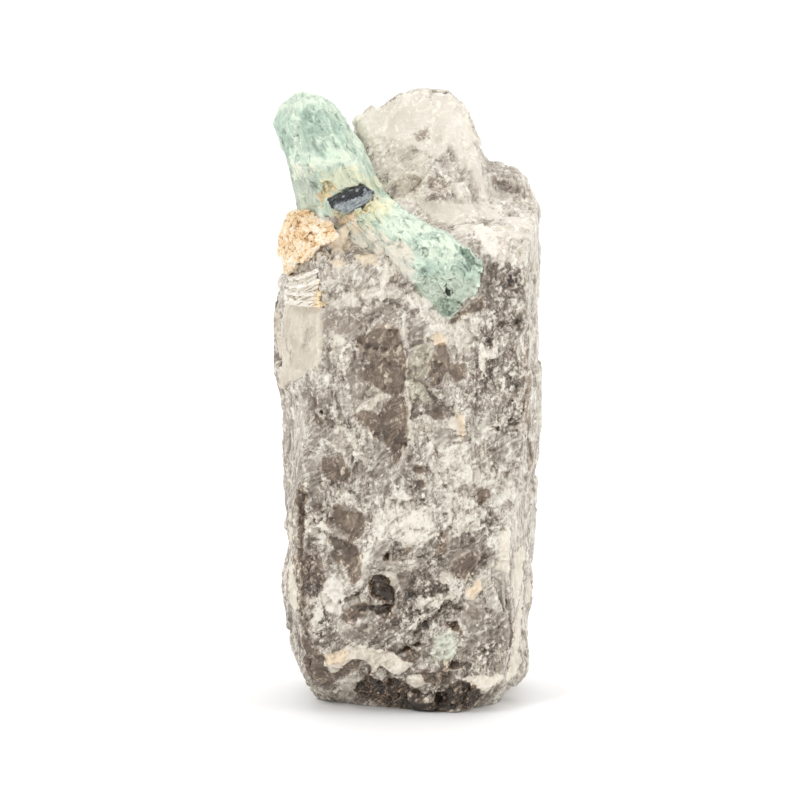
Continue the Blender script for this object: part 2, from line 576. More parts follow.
    "roundBrown": ("brown", 0.3, [(-1.25, 8.75), (0, 9.75), (1.75, 9.5), (2.5, 7.75), (1, 6.5), (-0.75, 7)]),
    "brownLedge": ("brown", -0.3, [(-14, 16.25), (-12, 18.25), (-8.75, 19.5), (-7, 18.25), (-9, 15.75),
        (-12.5, 14.5)]),
    "frostLowLeft": ("frost", 0.2, [(-22.5, 18.75), (-20.25, 20), (-17.75, 18.75), (-17.5, 15), (-19, 12),
        (-21.5, 13.25)]),
    "darkSeamLow": ("deep", -0.5, [(6.75, 6.25), (10, 7), (12.5, 6.25), (10, 5.25), (7.25, 5.25)]),
    "brownLow": ("brown", -0.3, [(2.5, 4.5), (6.75, 5.25), (10, 4.5), (8.75, 2), (5.5, 1.5), (3.5, 2.5)]),
    "footLeftLight": ("milk", 0.2, [(-16.25, 2), (-12.75, 3.25), (-9.5, 2.5), (-10.75, 0), (-14, -0.5)]),
    "footRightLight": ("smoke", 0.1, [(15, 0.75), (19.25, 1.5), (21.75, 2), (20, -0.5), (16, -1.75),
        (13.75, -1)]),
    "domeTop": ("silk", 0.0, [(-10.75, 119.5), (-7.5, 123.75), (-2, 125.25), (4.75, 126.5), (10, 125.75),
        (13, 122.75), (13.75, 117.5), (15.5, 111.25), (13, 110.75), (10, 113.25), (6.25, 115.25),
        (2.5, 117.75), (-1.5, 118.25), (-5.75, 118.75), (-9.5, 117.5)]),
    "domeRight": ("silk", 0.0, [(13, 122.75), (14.25, 117.5), (16, 111.25), (18.75, 103.25), (16, 103.75),
        (13, 108.75), (9.25, 113.25), (8, 119.5)]),
    "paleVeil": ("milk", 0.2, [(-12, 61.25), (-7.5, 61.5), (-3.25, 63.75), (-4.5, 61.25), (-7.5, 59),
        (-10.75, 58.75)]),
    "rightGroove": ("brown", -0.4, [(24.75, 87.25), (25.25, 87.25), (25.75, 75.75), (25.5, 61.25),
        (26, 46.5), (25.25, 46.5), (25, 61.25), (25, 75.75)]),
    "lowArris": ("deep", -0.3, [(21.25, 19.5), (21.75, 19.5), (21.75, 11.25), (21.25, 5.25), (20.75, 5.25),
        (21.25, 11.25)]),
    "creamSide": ("cream", 0.0, [(22, 27.75), (25, 32), (25.75, 19.5), (24.75, 11.25), (23.5, 6),
        (21.25, 0.75), (21.75, 11.25), (21.75, 19.5)]),
    "paleTopRight": ("milk", 0.0, [(16.25, 90), (19.25, 92.5), (23.5, 95.25), (26.75, 94.5), (26.25, 90),
        (23.5, 88.75), (19.25, 90)]),
    "peachSpot": ("peach", 0.1, [(4.75, 74.75), (7.5, 75), (8, 72.75), (6.25, 71.5), (5, 72.75)]),
    "peachRight": ("peach", 0.0, [(10, 58.75), (11.75, 57.75), (12.25, 54.5), (11, 52.75), (9.75, 56.25)]),
    "peachSlab": ("peach", 0.0, [(-17.5, 7.75), (-15, 9), (-12, 9), (-12.75, 6.5), (-15.25, 6.25)]),
    "crumbs": ("peach", 0.4, [(-14.75, 97), (-11.5, 96.5), (-12, 94.5), (-14, 94)]),
    "crumbsRight": ("peach", 0.4, [(-11.5, 97.5), (-8.25, 97.5), (-8.75, 95.75), (-11.25, 95.25)]),
    "orangeSpot": ("peach", 0.3, [(-10.75, 91.25), (-8.75, 92), (-6.25, 91.25), (-6.5, 89.5), (-9.5, 89)]),
    "orangeSpotLeft": ("peach", 0.2, [(-16.5, 90.75), (-13.75, 90.25), (-12, 89.5), (-14, 88.75),
        (-16.5, 89)]),
    "peachChip": ("peach", 0.0, [(12.25, 21.5), (14.75, 23.75), (15.5, 21.25), (13, 19.5)]),
    "leftSliver": ("cream", 0.0, [(-25.75, 44.5), (-24, 44.5), (-23.75, 27.75), (-23.25, 17.5),
        (-24.5, 15.25), (-25.5, 21.5), (-26.25, 27.75)]),
    "leftArris": ("brown", -0.3, [(-22.5, 44), (-21.75, 44), (-21.25, 36.25), (-21.5, 27.75), (-21.25, 19.5),
        (-20.5, 11.25), (-21.25, 11.25), (-22.25, 19.5), (-22.5, 27.75), (-22.75, 36.25)]),
    "lowStreakLight": ("frost", 0.2, [(-18.75, 46.5), (-14, 43.25), (-10.75, 40.25), (-8.25, 37.75),
        (-10, 37.75), (-14, 40.25), (-17.75, 43.25)]),
    "midSmoke": ("smoke", -0.2, [(-1.5, 27.75), (3.5, 26.5), (6.75, 23.75), (4.75, 21.25), (0, 20.25),
        (-2.5, 23.75)]),
    "glassStrip": ("smoke", 0.0, [(7.5, 32.75), (13, 34.5), (16.25, 32), (13, 29.5), (8.5, 28.75)]),
    "lowDarkLeft": ("brown", -0.3, [(-23.75, 32), (-21.25, 30.25), (-18.25, 27.75), (-17, 23.75),
        (-19, 21.5), (-22.5, 23.75), (-23.75, 27.75)]),
    "leftFootDark": ("brown", -0.2, [(-23.25, 11.25), (-21.25, 9), (-18.75, 6.25), (-20, 2), (-22, 5.25),
        (-23.25, 8.25)]),
    "topHollow": ("smoke", -0.4, [(17.5, 107.5), (19.25, 107), (21.25, 106.25), (23.5, 105.5),
        (23.75, 104.5), (21.75, 104), (19.25, 105), (17.75, 106.25)]),
    "whiteCap": ("snow", 0.5, [(13, 97.5), (14.75, 98), (17.25, 97.5), (19.25, 96.25), (21.25, 94.5),
        (21, 92), (20, 90), (18, 90), (16, 91.5), (15, 94), (13.5, 95.75)]),
    "footShade": ("deep", -0.4, [(-11.5, 0.75), (-9.5, 2.75), (-7.75, 5.25), (-6.5, 3.75), (-5, 2.75),
        (-0.75, 2), (0.5, 0), (4.25, -1), (8, 0.75), (10.5, 2.75), (14.25, 2), (16, 0), (13.75, -2.5),
        (10, -3.75), (4.75, -4.25), (-1.5, -3.5), (-7, -2.25), (-10.25, -1)]),
    "footGlow": ("brown", 0.0, [(-5, 0.75), (-2.5, 1.5), (-1.25, 0), (-2.75, -1.75), (-5, -1)]),
    "veilRidge": ("milk", 0.3, [(-15.5, 82), (-13, 83.75), (-7.5, 84.5), (-2, 84), (-2.5, 82.5),
        (-6.5, 82.75), (-9.5, 81.5), (-14.5, 80.25)]),
    "domeSmoke": ("haze", 0.0, [(-9.5, 116.5), (-6.5, 116.5), (-3.25, 115.75), (1, 113.75), (4.75, 112.5),
        (3.75, 110.25), (5, 108.25), (7.5, 107.75), (9.25, 105), (6.75, 103.5), (2.5, 104), (-1.5, 104),
        (-4, 105.75), (-6.25, 109.5), (-8.25, 113.25)]),
    "sparksLeft": ("spark", -0.1, [(-24.5, 31), (-20.25, 29.5), (-17.75, 24), (-18.75, 19), (-15.75, 15.25),
        (-14.5, 12), (-18.75, 10), (-21.5, 12), (-23.75, 19.5)]),
    "sparksLow": ("spark", 0.0, [(-0.75, 21.25), (4.75, 23.75), (11.25, 24.75), (13, 22.75), (8.75, 20.75),
        (2.5, 19), (-0.75, 18.25)]),
    "sparksLower": ("spark", 0.0, [(-2, 16.5), (4.75, 18.75), (8.5, 17), (6.75, 14.5), (3.5, 12),
        (-1.25, 12.5), (-2.75, 14.5)]),
    "sparksRight": ("spark", 0.0, [(11.25, 8.75), (17.25, 11.25), (20.5, 12), (20.5, 6.25), (15, 4.5),
        (11.25, 5.25)]),
    "domeBand": ("silk", 0.0, [(-11.25, 117.75), (-8.75, 121.25), (-1.5, 122), (5, 120.25), (8.75, 117),
        (8.5, 112.75), (6, 111.5), (2.5, 112.75), (-1.5, 114.5), (-5.75, 115.75), (-9.5, 115.25)]),
    "goldSeamLeft": ("gold", -0.2, [(-26.25, 88.75), (-24, 90), (-21.5, 91.25), (-19, 92.75), (-18.25, 91.5),
        (-20.75, 90), (-23.25, 88.75), (-25.75, 87.5)]),
    "crustFlake": ("peach", 0.2, [(-16.25, 94.5), (-13.75, 95.25), (-11.5, 94.5), (-12, 92.5), (-14.5, 91.5),
        (-16.5, 92.75)]),
}

crystalPlaces = {
    "tealTop": ("teal", 0.0, [(-23, 121.5), (-20, 122.75), (-16.25, 121.25), (-12.75, 118.75),
        (-12.5, 115.25), (-15.25, 114), (-18.25, 116.25), (-21.25, 114), (-22.75, 117)]),
    "tealLeft": ("teal", 0.0, [(-28.75, 118.75), (-26.25, 121.25), (-24, 120.25), (-23.75, 115.25),
        (-23.75, 111.25), (-23.25, 107), (-24.5, 105), (-26.5, 109), (-28.25, 113.25)]),
    "tealLow": ("teal", 0.0, [(-18.75, 114), (-15.25, 113.25), (-14, 111.25), (-17, 110.75), (-19, 112)]),
    "greyLeft": ("grey", 0.0, [(-25.75, 110.25), (-22.5, 110.75), (-18.75, 109), (-18, 102.75),
        (-19.75, 100), (-23.25, 100), (-24.5, 105)]),
    "paleTop": ("pale", 0.0, [(-16.25, 115), (-12, 113.25), (-10, 109), (-13.25, 110), (-16.5, 112)]),
    "paleVein": ("pale", 0.1, [(-23, 113.25), (-20.25, 111.5), (-17.5, 111.5), (-14, 111.25),
        (-14.5, 110.25), (-17.75, 110.5), (-20.75, 110.5), (-23.25, 112)]),
    "veinLeft": ("pale", 0.1, [(-23.75, 120), (-22.5, 119.5), (-23, 116.25), (-23.25, 111.25),
        (-22.5, 107.75), (-23.75, 107.75), (-24, 113.25)]),
    "stainBand": ("stain", -0.1, [(-18.75, 109), (-13, 110), (-8.75, 108.75), (-4, 105.25), (-3.25, 103.25),
        (-7, 104.5), (-13, 105.75), (-16.25, 103.25), (-17.75, 101.5), (-18.75, 105)]),
    "stainDark": ("gold", -0.1, [(-18.75, 106.25), (-16.75, 107), (-15.25, 105.75), (-16.5, 103.25),
        (-17.75, 102), (-18.5, 103.75)]),
    "stainJoint": ("stain", 0.0, [(-10, 105.75), (-6.25, 104.5), (-2.75, 102), (-4, 100), (-7.5, 97.5),
        (-10.75, 95.25), (-12.75, 97), (-9, 100.25), (-7.5, 102.75)]),
    "seamGold": ("gold", 0.1, [(-15.25, 100.25), (-12.75, 100), (-10, 100.75), (-7.5, 102), (-7.75, 100.25),
        (-10.75, 98.75), (-13.75, 97.5), (-16.25, 98.25)]),
    "seamDark": ("gold", -0.1, [(-15, 99.5), (-12.5, 100.5), (-9.75, 101.25), (-8.75, 100.25), (-10.75, 99),
        (-13.75, 98)]),
    "creamFlake": ("cream", 0.5, [(-8.25, 103.25), (-6.25, 102.5), (-5.25, 101.5), (-7, 100.25),
        (-8.75, 100), (-9.5, 101.25)]),
    "endArris": ("pale", 0.15, [(0.25, 93.75), (6, 93.75), (11.25, 93.25), (16.25, 90.5), (16.25, 89.75),
        (11, 92.25), (6, 92.75), (0.5, 92.75)]),
    "paleFace": ("pale", 0.0, [(-4, 101.5), (-0.75, 101.25), (3.5, 99.5), (5, 97.5), (3.5, 95), (0, 93.25),
        (-4, 94.5), (-6.25, 97.5)]),
    "paleEnd": ("pale", 0.0, [(3.5, 94), (7.5, 95), (10.5, 93.25), (9.25, 90), (6, 90), (3.5, 91.5)]),
    "tealPatch": ("teal", 0.0, [(1.25, 90.75), (4.25, 90), (7.25, 88.25), (8.5, 85.75), (4.75, 85.75),
        (2.25, 87.5)]),
    "tealRight": ("teal", 0.0, [(7.5, 90), (10.5, 88.75), (14.25, 87.75), (13.5, 85.75), (9.25, 86.5)]),
    "recess": ("deepGreen", -0.5, [(10.5, 93.25), (13.5, 94), (16, 91.5), (15.75, 88.75), (13, 89),
        (11, 91.25)]),
    "notch": ("black", -0.7, [(8, 84.75), (9.25, 84.25), (9, 82.75), (8, 82.5), (7.5, 83.5)]),
    "greyFacet": ("grey", 0.0, [(6, 82.75), (9.75, 84), (13.75, 82.75), (13, 80.25), (9.25, 77.75),
        (6.25, 78.75), (5.25, 80.75)]),
    "greyFacetDark": ("deepGreen", 0.0, [(6, 82), (8, 82.75), (11.25, 82), (12.25, 80.75), (9.25, 78.25),
        (6.75, 79)]),
    "crust": ("crust", 0.3, [(-15, 98.25), (-12.75, 100.25), (-10.75, 99.5), (-8.75, 97.5), (-6.25, 96),
        (-3.25, 95), (-0.75, 94.25), (1, 92.75), (1.25, 90.75), (1.25, 89), (2.5, 86.25), (1, 83.75),
        (-2, 85.25), (-5.75, 87.75), (-9, 89.5), (-12.5, 91.5), (-14.5, 94.5)]),
    "tealMark": ("teal", 0.0, [(1.25, 90), (3.5, 89.5), (6, 90), (8.75, 88.75), (9.25, 87), (6.75, 85.75),
        (3.75, 86.25), (1.75, 87.75)]),
    "endLow": ("grey", 0.0, [(2.25, 87.75), (5, 87), (8, 88.25), (11, 87.75), (13.75, 86.25), (15, 82.75),
        (13, 80.75), (11.25, 78.75), (8.75, 76.5), (6, 78.25), (3.5, 82), (1.75, 85)]),
}


# the quartz that everything else sits in
quartzValues = {
    "spacing": 0.56,  # mm between the points of the skin
    "soften": 7,  # rounds of smoothing before the chips are broken in
    "chips": [(9.0, 0.13, 0.006, 71), (4.2, 0.09, 0.012, 72)],  # cell, tilt, scoop, seed
    "crumbs": (2.0, 0.075, 0.015, 73),
    "crumbShare": (0.1, 0.5),  # how strong the crumbs are everywhere, and how much more where it is broken
    "broken": (9, 76),  # size and seed of the stretches that are broken small
    "chipTurn": (0, 0.45, 0),
    "chipShape": (1, 1, 0.75),
    "ledges": (8.0, 0.6, 74),  # size, step, seed
    "calm": {"beige": 0.85, "brown": 0.5, "silk": 0.6, "cream": 0.3},  # how much smoother each look is
    "calmer": {"back": 0.4, "streaks": 0.5, "top": 0.25, "windows": 0.7},  # the same for its regions
    "windows": ("brown", "smoke", "dusk", "green"),  # looks that are hardly broken at all
    "streaks": (0.35, (1.6, 1.6, 14), 75),  # depth, size and seed of the upright streaks on the sides
    "rightSide": (18, 21),  # mm across where the streaks start and are full
    "leftSide": (-20.5, -22.5),
    "heights": {  # mm above the ground where each change starts and is full
        "leftStreaks": (70, 60),
        "calmTop": (84, 92),
        "lighterTop": (88, 104),
        "lighterMiddle": (55, 90),
        "darkerFoot": (45, 15),
        "lessBusy": (35, 60),
        "leastBusy": (82, 92),
        "leaning": (46, 38),
    },
    "light": {"top": 0.05, "middle": 0.05, "foot": -0.03, "right": 0.05, "upward": -0.05},
    "busy": {"least": 0.3, "broken": 0.9, "foot": 1.45, "middle": 0.45, "top": 0.4, "back": 0.25},
    "broadNoise": (9, 77),  # size and seed
    "busyNoise": (7, 78),
    "leaningNoise": (8, 79),
    "leaningWave": 9,  # mm that the border of the leaning strokes wanders up and down
    "most": 1.3,  # mm that the skin may rise or sink
    "flatFoot": 1.2,  # mm above the ground where the relief has its full strength
    "seatReach": 1.1,  # mm within which the skin is drawn onto a crystal
    "seatDepth": 0.15,
    "seatSteep": 2.2,  # how soon the skin leaves the crystal again
    "sharp": 28,  # degrees
    "tone": 0.56,  # 0 dark, 1 white
    "ridges": 0.11,  # how much lighter ridges are, and how much darker hollows
    "hollows": -0.10,
    "grains": ((0.75, 0.4, 0.26), (0.45, -0.5, 0.24)),  # size, turn and gain of the bright grains
    "roughness": (0.2, 0.42),  # of dark and of light stretches
    "bump": (0.6, 0.2),  # strength, depth in mm
    "glow": (0.25, (1.0, 0.85, 0.7), 1.0),  # weight, reach of each colour, depth in mm
    "patches": {  # look: size in mm, how rare, seed
        "smoke": ((11, 11, 16), 0.12, 31),
        "milk": ((9, 9, 14), 0.24, 32),
        "frost": ((9, 9, 9), 0.36, 33),
        "brown": ((9, 9, 14), 0.36, 34),
        "cream": ((7, 7, 7), 0.50, 35),
        "deep": ((5, 5, 4), 0.62, 36),
    },
    # tone (0 dark, 1 white), variety inside, raggedness and softness of the edge, tint
    # later looks cover earlier ones
    "looks": {
        "snow": (0.88, 0.3, 0.8, 0.4, (1.0, 0.985, 0.98)),
        "silk": (0.75, 0.4, 0.7, 0.9, (1.0, 0.985, 0.965)),
        "haze": (0.68, 0.6, 0.9, 0.7, (1.0, 0.985, 0.965)),
        "dusk": (0.54, 0.7, 1.0, 0.4, (1.0, 0.975, 0.95)),
        "smoke": (0.43, 0.7, 1.0, 0.3, (1.0, 0.99, 0.98)),
        "spark": (0.36, 1.0, 1.0, 0.5, (1.0, 0.995, 0.99)),
        "milk": (0.67, 0.8, 0.9, 0.25, (1.0, 0.99, 0.975)),
        "green": (0.53, 0.7, 0.7, 0.2, (0.985, 1.0, 0.94)),
        "beige": (0.69, 0.45, 0.2, 0.12, (1.0, 0.97, 0.925)),
        "cream": (0.83, 0.5, 0.5, 0.12, (1.0, 0.965, 0.93)),
        "frost": (0.72, 1.0, 1.1, 0.3, (1.0, 0.995, 0.98)),
        "peach": (0.78, 0.7, 0.9, 0.4, (1.0, 0.90, 0.77)),
        "brown": (0.28, 0.62, 0.9, 0.25, (1.0, 0.93, 0.86)),
        "deep": (0.08, 1.1, 0.9, 0.25, (1.0, 0.90, 0.80)),
        "mint": (0.68, 0.8, 1.0, 0.4, (0.93, 1.0, 0.96)),
        "stain": (0.62, 0.8, 1.0, 0.5, (1.0, 0.97, 0.89)),
        "gold": (0.46, 1.3, 1.0, 0.3, (1.0, 0.93, 0.78)),
    },
    "colours": [  # tone and colour
        (0.0, (0.035, 0.026, 0.019)),
        (0.25, (0.150, 0.117, 0.090)),
        (0.50, (0.345, 0.296, 0.245)),
        (0.72, (0.600, 0.555, 0.480)),
        (1.0, (0.800, 0.768, 0.690)),
    ],
}


def closeSeats(points, crystals):  # draws the skin onto the crystals where a gap is left between them
    reach = quartzValues["seatReach"]
    for crystal in crystals:
        tree = BVHTree.FromObject(crystal, bpy.context.evaluated_depsgraph_get())
        corners = np.array(crystal.bound_box) / mm
        near = np.all((points > corners.min(0) - reach) & (points < corners.max(0) + reach), axis=1)
        for index in np.nonzero(near)[0]:
            place, normal, _, distance = tree.find_nearest(Vector(points[index]) * mm, reach * mm)
            if place:
                target = np.array(place) / mm - np.array(normal) * quartzValues["seatDepth"]
                share = min(1, quartzValues["seatSteep"] * (1 - distance / mm / reach))
                points[index] += (target - points[index]) * share
    return points


def brokenShare(points, fields):  # 1 where the quartz is broken small, 0 where it is whole
    windows = np.maximum.reduce([fields[look] for look in quartzValues["windows"]])
    broken = smoothStep(-0.25, 0.35, noiseAt(points, *quartzValues["broken"], 2))
    broken = np.maximum(broken, smoothStep(-1, 1, fields["frost"]))
    broken = broken * (1 - quartzValues["calmer"]["windows"] * smoothStep(-0.5, 0.8, windows))
    return np.maximum(broken, smoothStep(-1, 1, fields["spark"]))


def quartzRelief(points, fields, broken, streaky, back):
    turned = turnedInto(points, quartzValues["chipTurn"]) * np.array(quartzValues["chipShape"])
    calm = sum(amount * smoothStep(-0.3, 0.8, fields[look]) for look, amount in quartzValues["calm"].items())
    relief = sum(chipsAt(turned, *layer) for layer in quartzValues["chips"])
    least, more = quartzValues["crumbShare"]
    calmer = quartzValues["calmer"]
    relief += chipsAt(turned, *quartzValues["crumbs"]) * (least + more * broken) * (1 - calmer["back"] * back)
    relief += ledgesAt(turned, *quartzValues["ledges"])
    relief = np.clip(relief, -quartzValues["most"], quartzValues["most"])
    relief = relief * (1 - calm) * (1 - calmer["streaks"] * streaky)
    relief *= 1 - calmer["top"] * smoothStep(*quartzValues["heights"]["calmTop"], points[:, 2])
    depth, size, seed = quartzValues["streaks"]
    return relief + streaky * depth * noiseAt(points, size, seed, 3)


def makeQuartz(crystals):
    rock = remeshedCopy("quartz_matrix", "quartzRock", quartzValues["spacing"], quartzValues["soften"])
    points = readPoints(rock)
    normals = readNormals(rock)
    fields, lift = paintPlaces(points, normals, {**rockPlaces, **crystalPlaces})
    addPatches(points, normals, fields, quartzValues["patches"])
    heights = quartzValues["heights"]
    right = smoothStep(0.35, 0.75, normals[:, 0]) * smoothStep(*quartzValues["rightSide"], points[:, 0])
    left = smoothStep(*quartzValues["leftSide"], points[:, 0])
    left = left * smoothStep(*heights["leftStreaks"], points[:, 2])
    streaky = np.maximum(right, left)
    back = smoothStep(0.0, 0.4, normals[:, 1])
    broken = brokenShare(points, fields)
    relief = quartzRelief(points, fields, broken, streaky, back)
    relief = (relief + lift) * smoothStep(0.0, quartzValues["flatFoot"], points[:, 2])
    points = closeSeats(points + normals * relief[:, None], crystals)
    points = keepInside(points, "quartz_matrix")
    movePoints(rock, points)
    storeFields(rock, fields, quartzValues["looks"])
    storeOnPoints(rock, "streaky", streaky)
    height = points[:, 2]
    more = quartzValues["light"]
    light = more["top"] * smoothStep(*heights["lighterTop"], height)
    light = light + more["middle"] * smoothStep(*heights["lighterMiddle"], height)
    light += (more["foot"] * smoothStep(*heights["darkerFoot"], height) + more["right"] * right
              + more["upward"] * smoothStep(0.5, 0.9, normals[:, 2]))
    storeOnPoints(rock, "light", light)
    storeOnPoints(rock, "broad", noiseAt(points, *quartzValues["broadNoise"]))
    # busy is how strong the small contrasts are: most near the foot, least at the top and behind
    share = quartzValues["busy"]
    busy = np.maximum(broken, smoothStep(0.1, 0.6, noiseAt(points, *quartzValues["busyNoise"])))
    busy = share["least"] + share["broken"] * busy
    busy *= (share["foot"] - share["middle"] * smoothStep(*heights["lessBusy"], height)
             - share["top"] * smoothStep(*heights["leastBusy"], height) - share["back"] * back)
    storeOnPoints(rock, "busy", busy)
    storeOnPoints(rock, "glints", smoothStep(-1, 1, fields["spark"]) - smoothStep(-0.5, 0.5, fields["beige"]))
    # slant is 1 low on the pillar, where the strokes lean
    border = height + quartzValues["leaningWave"] * noiseAt(points, *quartzValues["leaningNoise"])
    storeOnPoints(rock, "slant", smoothStep(*heights["leaning"], border))
    storeOnPoints(rock, "bend", bendOf(rock, points, quartzValues["spacing"]))
    return finishPiece(rock, "quartz_matrix", quartzSkin(), quartzValues["sharp"])


def quartzSkin():
    n = Nodes("quartzSkin")
    slant = n.attribute("slant")
    rising = n.stretched((1, 1, 2.6), (0, 0.95, 0))
    upright = n.stretched((1, 1, 1.8), (0, -0.15, 0))
    middle = n.blend(slant, n.cloud(2.5, 3, 0.6, upright, 0.4), n.cloud(2.3, 3, 0.6, rising, 0.4))
    strokes = n.blend(slant, n.cloud(0.6, 2, 0.6, n.stretched((1, 1, 4), (0, -0.15, 0))),
                      n.cloud(0.6, 2, 0.6, n.stretched((1, 1, 5), (0, 0.95, 0))))
    streak = n.cloud(0.9, 4, 0.7, n.stretched((1, 1, 7)), 0.3)
    fine = n.cloud(0.36, 2, 0.7)
    waves = n.waves(1.1)
    wide = n.facets(4.2, n.pushed(n.waves(2.5), 2.5))
    small = n.facets(1.7, n.pushed(waves, 0.9, upright))
    # the thin bright rims of shells inside the stone
    shells = n.maths("FRACT", n.maths("MULTIPLY", n.cloud(6.0, 3, 0.6, rising, 1.0), 9))
    shells = n.maths("POWER", shells, 4)
    speckle = n.shards(n.cloud(0.32, 2, 0.6, upright), 0.09, 0.05)
    vary = n.addUp((n.attribute("broad"), 0.18), (middle, 0.34), (wide, 0.18), (shells, 0.26), (-0.05, 1.0))
    crisp = n.addUp((small, 0.28), (fine, 0.36), (strokes, 0.55), (speckle, 0.10))
    vary = n.addUp((n.maths("MULTIPLY", crisp, n.attribute("busy")), 1.0), (vary, 1.0))
    vary = n.blend(n.attribute("streaky"), vary, n.addUp((streak, 1.2), (vary, 0.6)))
    ragged = n.addUp((middle, 2.0), (wide, 0.8), (small, 0.9), (strokes, 0.6))
    tone, tints = n.paintLooks(quartzValues["tone"], vary, ragged, quartzValues["looks"])
    bend = n.addUp((fine, 0.10), (n.attribute("bend"), 1.0))
    tone = n.addUp((tone, 1.0), (n.attribute("light"), 1.0),
                   (n.between(bend, 0.03, 0.13), quartzValues["ridges"]),
                   (n.between(bend, -0.04, -0.2), quartzValues["hollows"]))
    for size, turn, gain in quartzValues["grains"]:
        grain = n.cells(size, n.pushed(waves, size, n.stretched((1, 1, 1.7), (0, turn, 0))), "Color")
        grain = n.addUp((grain, 1.0), (middle, 0.6), (n.attribute("glints"), 0.14))
        tone = n.addUp((n.between(grain, 0.84, 0.87), gain), (tone, 1.0))
    n.setShader({
        "Base Color": n.tinted(n.ramp(tone, quartzValues["colours"]), tints),
        "Roughness": n.between(tone, 0.3, 0.9, *quartzValues["roughness"]),
    })
    n.bump(n.addUp((strokes, 0.7), (small, 0.6)), *quartzValues["bump"])
    n.glow(*quartzValues["glow"])
    return n.material


# the two aquamarine prisms
aquamarineValues = {
    "spacing": 0.27,
    "soften": 2,
    "chips": [(2.6, 0.08, 0.022, 81), (1.1, 0.08, 0.05, 82)],  # cell, tilt, scoop, seed
    "chipShape": (1, 1, 0.6),
    "ribs": (0.14, (1.0, 1.0, 9.0), 83),  # depth, size and seed of the lines along the prism
    "lumps": (0.25, (4, 4, 6), 84),
    "most": 0.5,  # mm that the skin may rise or sink
    "sharp": 30,
    "ridges": 0.12,
    "hollows": -0.16,
    "roughness": 0.36,
    "bump": (0.7, 0.2),
    "glow": (0.25, (0.8, 1.0, 0.9), 1.0),
    "crystals": {  # node: piece, how its length is turned from upright, how chipped it is, tone
        "upper_aquamarine": ("upperAquamarine", (0, -0.554, 0), 1.0, 0.60),
        "lower_aquamarine": ("lowerAquamarine", (-0.51, -0.87, 0), 1.5, 0.53),
    },
    "looks": {  # as for the quartz
        "teal": (0.50, 1.1, 1.3, 0.4, (0.95, 1.0, 0.985)),
        "grey": (0.45, 0.9, 1.0, 0.3, (1.06, 0.98, 0.97)),
        "pale": (0.685, 0.9, 1.5, 0.3, (1.0, 0.995, 0.985)),
        "cream": (0.84, 0.5, 0.5, 0.15, (1.06, 0.96, 0.85)),
        "deepGreen": (0.24, 0.9, 1.0, 0.2, (0.94, 1.0, 0.95)),
        "stain": (0.61, 1.1, 1.3, 0.5, (1.07, 0.965, 0.86)),
        "crust": (0.67, 1.2, 1.2, 0.35, (1.06, 0.90, 0.92)),
        "gold": (0.38, 1.6, 1.1, 0.3, (1.28, 0.98, 0.76)),
        "black": (0.02, 0.5, 0.9, 0.2, (0.4, 0.4, 0.4)),
    },
    "colours": [
        (0.0, (0.040, 0.058, 0.045)),
        (0.25, (0.250, 0.315, 0.255)),
        (0.50, (0.485, 0.585, 0.485)),
        (0.72, (0.690, 0.775, 0.640)),
        (1.0, (0.820, 0.840, 0.715)),
    ],
}


def makeCrystal(node):
    pieceName, turn, rough, tone = aquamarineValues["crystals"][node]
    skin = aquamarineSkin(pieceName + "Skin", turn, tone)
    crystal = remeshedCopy(node, pieceName, aquamarineValues["spacing"], aquamarineValues["soften"])
    points = readPoints(crystal)
    normals = readNormals(crystal)
    fields, lift = paintPlaces(points, normals, crystalPlaces, (-0.1, 0.15))
    along = turnedInto(points, turn)
    chipped = along * np.array(aquamarineValues["chipShape"])
    relief = rough * sum(chipsAt(chipped, *layer) for layer in aquamarineValues["chips"])
    ribDepth, ribSize, ribSeed = aquamarineValues["ribs"]
    lumpDepth, lumpSize, lumpSeed = aquamarineValues["lumps"]
    relief += ribDepth * noiseAt(along, ribSize, ribSeed, 3) + lumpDepth * noiseAt(along, lumpSize, lumpSeed, 2)
    relief = np.clip(relief, -aquamarineValues["most"], aquamarineValues["most"]) + lift
    points = keepInside(points + normals * relief[:, None], node)
    movePoints(crystal, points)
    storeFields(crystal, fields, aquamarineValues["looks"])
    storeOnPoints(crystal, "bend", bendOf(crystal, points, aquamarineValues["spacing"]))
    return finishPiece(crystal, node, skin, aquamarineValues["sharp"])


